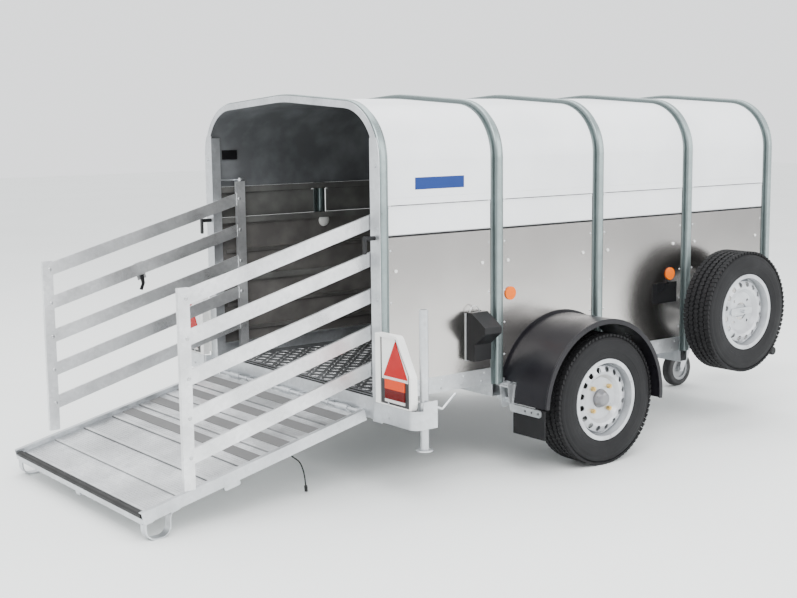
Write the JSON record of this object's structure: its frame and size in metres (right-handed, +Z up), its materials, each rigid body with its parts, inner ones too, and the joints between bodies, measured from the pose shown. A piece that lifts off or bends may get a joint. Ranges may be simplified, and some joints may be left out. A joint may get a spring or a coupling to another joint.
{
  "type": "livestock trailer",
  "caption": "Small hooped livestock trailer on a single sprung axle, with drop-down side vents, a lowered tail ramp and folding side gates.",
  "frame": {"origin": "on the ground under the middle of the trailer's overall length, with the ramp down", "axes": "+X points forwards to the coupling, +Y to the left, +Z up"},
  "size_m": [4.5104, 1.916, 1.6218],
  "materials": {
    "galvanised": "hot-dip galvanised, fine spangle",
    "hoop_steel": "rolled galvanised steel, weathered green-grey",
    "panel_aluminium": "mill-finish sheet, satin",
    "gate_aluminium": "extruded, satin",
    "tread_aluminium": "tread plate with raised lozenges",
    "white_sheet": "white coated sheet",
    "black_rubber": "matt",
    "black_plastic": "moulded, fine grain",
    "tyre_rubber": "treaded",
    "rim_paint": "silver paint",
    "black_steel": "black powder coat",
    "white_plastic": "moulded",
    "blue_film": "plain film sticker",
    "red_lens": "prismatic lens",
    "amber_lens": "prismatic lens",
    "cast_coupling": "cast, zinc plated"
  },
  "bodies": {
    "chassis": {"chassis_frame": "galvanised", "drawbar": "galvanised", "floor_plate": "tread_aluminium", "rear_frame": "galvanised", "rear_arch": "galvanised", "roof_hoops": "hoop_steel", "body_panels": "panel_aluminium", "roof_skin": "white_sheet", "body_rails": "white_sheet", "axle_beam": "galvanised", "spring_gear": "galvanised", "mudguards": "black_plastic", "mudflaps": "black_rubber", "spare_tyre": "tyre_rubber", "spare_rim": "rim_paint", "spare_carrier": "galvanised", "jockey_outer_tube": "galvanised", "lamp_housings": "white_plastic", "lamp_lenses": "red_lens", "side_brackets": "galvanised", "side_markers": "amber_lens", "body_studs": "white_plastic"},
    "ramp": {"ramp_frame": "galvanised", "ramp_deck": "gate_aluminium", "ramp_rubbers": "black_rubber", "ramp_lead": "black_rubber", "lead_connector": "black_plastic"},
    "vents_right": {"vent_flaps_right": "white_sheet"},
    "vents_left": {"vent_flaps_left": "white_sheet"},
    "catch_right": {"ramp_catch_right": "black_steel"},
    "catch_left": {"ramp_catch_left": "black_steel"},
    "wheel_right": {"tyre_right": "tyre_rubber", "rim_right": "rim_paint"},
    "wheel_left": {"tyre_left": "tyre_rubber", "rim_left": "rim_paint"},
    "coupling": {"coupling_head": "cast_coupling"},
    "coupling_lever": {"coupling_lever": "black_steel"},
    "handbrake": {"handbrake_lever": "galvanised"},
    "jockey_leg": {"jockey_leg": "galvanised"},
    "jockey_fork": {"jockey_fork": "galvanised"},
    "jockey_wheel": {"jockey_wheel": "black_rubber"},
    "jockey_handle": {"jockey_handle": "galvanised"},
    "stand": {"prop_stand": "galvanised"},
    "stand_lever": {"stand_lever": "galvanised"},
    "chock": {"wheel_chock": "black_plastic"},
    "gate_right_post": {"gate_right_inner_post": "gate_aluminium"},
    "gate_right_rail_1": {"gate_right_rail_1": "gate_aluminium"},
    "gate_right_rail_2": {"gate_right_rail_2": "gate_aluminium"},
    "gate_right_rail_3": {"gate_right_rail_3": "gate_aluminium"},
    "gate_right_rail_4": {"gate_right_rail_4": "gate_aluminium"},
    "gate_right_rail_5": {"gate_right_rail_5": "gate_aluminium"},
    "gate_right_outer": {"gate_right_outer_post": "gate_aluminium"},
    "gate_left_post": {"gate_left_inner_post": "gate_aluminium"},
    "gate_left_rail_1": {"gate_left_rail_1": "gate_aluminium"},
    "gate_left_rail_2": {"gate_left_rail_2": "gate_aluminium"},
    "gate_left_rail_3": {"gate_left_rail_3": "gate_aluminium"},
    "gate_left_rail_4": {"gate_left_rail_4": "gate_aluminium"},
    "gate_left_rail_5": {"gate_left_rail_5": "gate_aluminium"},
    "gate_left_outer": {"gate_left_outer_post": "gate_aluminium"},
    "gate_latch": {"gate_latch_lever": "black_steel"}
  },
  "joints": [
    {"name": "ramp_hinge", "type": "hinge", "parent": "chassis", "child": "ramp", "pos_m": [-1.24271, 0, 0.33], "axis": [0, 1, 0], "range_deg": [0, 103.3]},
    {"name": "vents_right_hinge", "type": "hinge", "parent": "chassis", "child": "vents_right", "pos_m": [0.02029, -0.6678, 1.0512], "axis": [1, 0, 0], "range_deg": [0, 175]},
    {"name": "vents_left_hinge", "type": "hinge", "parent": "chassis", "child": "vents_left", "pos_m": [0.02029, 0.6678, 1.0512], "axis": [-1, 0, 0], "range_deg": [0, 175]},
    {"name": "catch_right_turn", "type": "hinge", "parent": "chassis", "child": "catch_right", "pos_m": [-1.27471, -0.6505, 1.045], "axis": [1, 0, 0], "range_deg": [0, 90]},
    {"name": "catch_left_turn", "type": "hinge", "parent": "chassis", "child": "catch_left", "pos_m": [-1.27471, 0.6505, 1.045], "axis": [-1, 0, 0], "range_deg": [0, 90]},
    {"name": "gate_right_swing", "type": "hinge", "parent": "chassis", "child": "gate_right_post", "pos_m": [-1.13471, -0.6135, 0.8], "axis": [0, 0, -1], "range_deg": [0, 90]},
    {"name": "gate_right_rail_1_pivot", "type": "hinge", "parent": "gate_right_post", "child": "gate_right_rail_1", "pos_m": [-1.14371, -0.6135, 1.1285], "axis": [0, 1, 0], "range_deg": [0, 15.32]},
    {"name": "gate_right_rail_2_pivot", "type": "hinge", "parent": "gate_right_post", "child": "gate_right_rail_2", "pos_m": [-1.14371, -0.6135, 0.9805], "axis": [0, 1, 0], "range_deg": [0, 15.32]},
    {"name": "gate_right_rail_3_pivot", "type": "hinge", "parent": "gate_right_post", "child": "gate_right_rail_3", "pos_m": [-1.14371, -0.6135, 0.83249], "axis": [0, 1, 0], "range_deg": [0, 15.32]},
    {"name": "gate_right_rail_4_pivot", "type": "hinge", "parent": "gate_right_post", "child": "gate_right_rail_4", "pos_m": [-1.14371, -0.6135, 0.68449], "axis": [0, 1, 0], "range_deg": [0, 15.32]},
    {"name": "gate_right_rail_5_pivot", "type": "hinge", "parent": "gate_right_post", "child": "gate_right_rail_5", "pos_m": [-1.14371, -0.6135, 0.5365], "axis": [0, 1, 0], "range_deg": [0, 15.32]},
    {"name": "gate_right_outer_pivot", "type": "hinge", "parent": "gate_right_rail_1", "child": "gate_right_outer", "pos_m": [-2.05571, -0.6135, 0.879], "axis": [0, -1, 0], "range_deg": [0, 15.32]},
    {"name": "gate_left_swing", "type": "hinge", "parent": "chassis", "child": "gate_left_post", "pos_m": [-1.08471, 0.6135, 0.8], "axis": [0, 0, 1], "range_deg": [0, 90]},
    {"name": "gate_left_rail_1_pivot", "type": "hinge", "parent": "gate_left_post", "child": "gate_left_rail_1", "pos_m": [-1.09371, 0.6135, 1.14217], "axis": [0, 1, 0], "range_deg": [0, 15.32]},
    {"name": "gate_left_rail_2_pivot", "type": "hinge", "parent": "gate_left_post", "child": "gate_left_rail_2", "pos_m": [-1.09371, 0.6135, 0.99417], "axis": [0, 1, 0], "range_deg": [0, 15.32]},
    {"name": "gate_left_rail_3_pivot", "type": "hinge", "parent": "gate_left_post", "child": "gate_left_rail_3", "pos_m": [-1.09371, 0.6135, 0.84617], "axis": [0, 1, 0], "range_deg": [0, 15.32]},
    {"name": "gate_left_rail_4_pivot", "type": "hinge", "parent": "gate_left_post", "child": "gate_left_rail_4", "pos_m": [-1.09371, 0.6135, 0.69817], "axis": [0, 1, 0], "range_deg": [0, 15.32]},
    {"name": "gate_left_rail_5_pivot", "type": "hinge", "parent": "gate_left_post", "child": "gate_left_rail_5", "pos_m": [-1.09371, 0.6135, 0.55017], "axis": [0, 1, 0], "range_deg": [0, 15.32]},
    {"name": "gate_left_outer_pivot", "type": "hinge", "parent": "gate_left_rail_1", "child": "gate_left_outer", "pos_m": [-2.05571, 0.6135, 0.879], "axis": [0, -1, 0], "range_deg": [0, 15.32]},
    {"name": "gate_latch_pivot", "type": "hinge", "parent": "gate_left_rail_2", "child": "gate_latch", "pos_m": [-1.61186, 0.6135, 0.8094], "axis": [0, 1, 0], "range_deg": [0, 50]},
    {"name": "wheel_right_spin", "type": "hinge", "parent": "chassis", "child": "wheel_right", "pos_m": [-0.18171, -0.85, 0.289], "axis": [0, 1, 0], "continuous": true},
    {"name": "wheel_left_spin", "type": "hinge", "parent": "chassis", "child": "wheel_left", "pos_m": [-0.18171, 0.85, 0.289], "axis": [0, 1, 0], "continuous": true},
    {"name": "overrun_slide", "type": "slide", "parent": "chassis", "child": "coupling", "axis": [1, 0, 0], "range_m": [-0.08, 0]},
    {"name": "coupling_lever_hinge", "type": "hinge", "parent": "coupling", "child": "coupling_lever", "pos_m": [2.13529, 0, 0.418], "axis": [0, 1, 0], "range_deg": [0, 45]},
    {"name": "handbrake_hinge", "type": "hinge", "parent": "chassis", "child": "handbrake", "pos_m": [1.72029, 0.072, 0.416], "axis": [0, -1, 0], "range_deg": [0, 55]},
    {"name": "jockey_raise", "type": "slide", "parent": "chassis", "child": "jockey_leg", "axis": [0, 0, 1], "range_m": [0, 0.08]},
    {"name": "jockey_swivel", "type": "hinge", "parent": "jockey_leg", "child": "jockey_fork", "pos_m": [1.41729, 0, 0.23], "axis": [0, 0, 1], "continuous": true},
    {"name": "jockey_spin", "type": "hinge", "parent": "jockey_fork", "child": "jockey_wheel", "pos_m": [1.36729, 0, 0.097], "axis": [0, 1, 0], "continuous": true},
    {"name": "jockey_crank", "type": "hinge", "parent": "chassis", "child": "jockey_handle", "pos_m": [1.41729, 0, 0.78], "axis": [0, 0, 1], "continuous": true},
    {"name": "stand_drop", "type": "slide", "parent": "chassis", "child": "stand", "axis": [0, 0, -1], "range_m": [0, 0.227]},
    {"name": "stand_lever_turn", "type": "hinge", "parent": "chassis", "child": "stand_lever", "pos_m": [-1.16271, -0.915, 0.403], "axis": [1, 0, 0], "range_deg": [-45, 135]},
    {"name": "chock_pull", "type": "slide", "parent": "chassis", "child": "chock", "axis": [0, -1, 0], "range_m": [0, 0.06]}
  ],
  "couplings": [
    {"joint": "gate_right_rail_1_pivot", "follows": "gate_right_swing", "ratio": 0.17},
    {"joint": "gate_right_rail_2_pivot", "follows": "gate_right_swing", "ratio": 0.17},
    {"joint": "gate_right_rail_3_pivot", "follows": "gate_right_swing", "ratio": 0.17},
    {"joint": "gate_right_rail_4_pivot", "follows": "gate_right_swing", "ratio": 0.17},
    {"joint": "gate_right_rail_5_pivot", "follows": "gate_right_swing", "ratio": 0.17},
    {"joint": "gate_right_outer_pivot", "follows": "gate_right_swing", "ratio": 0.17},
    {"joint": "gate_left_rail_1_pivot", "follows": "gate_left_swing", "ratio": 0.17},
    {"joint": "gate_left_rail_2_pivot", "follows": "gate_left_swing", "ratio": 0.17},
    {"joint": "gate_left_rail_3_pivot", "follows": "gate_left_swing", "ratio": 0.17},
    {"joint": "gate_left_rail_4_pivot", "follows": "gate_left_swing", "ratio": 0.17},
    {"joint": "gate_left_rail_5_pivot", "follows": "gate_left_swing", "ratio": 0.17},
    {"joint": "gate_left_outer_pivot", "follows": "gate_left_swing", "ratio": 0.17}
  ]
}
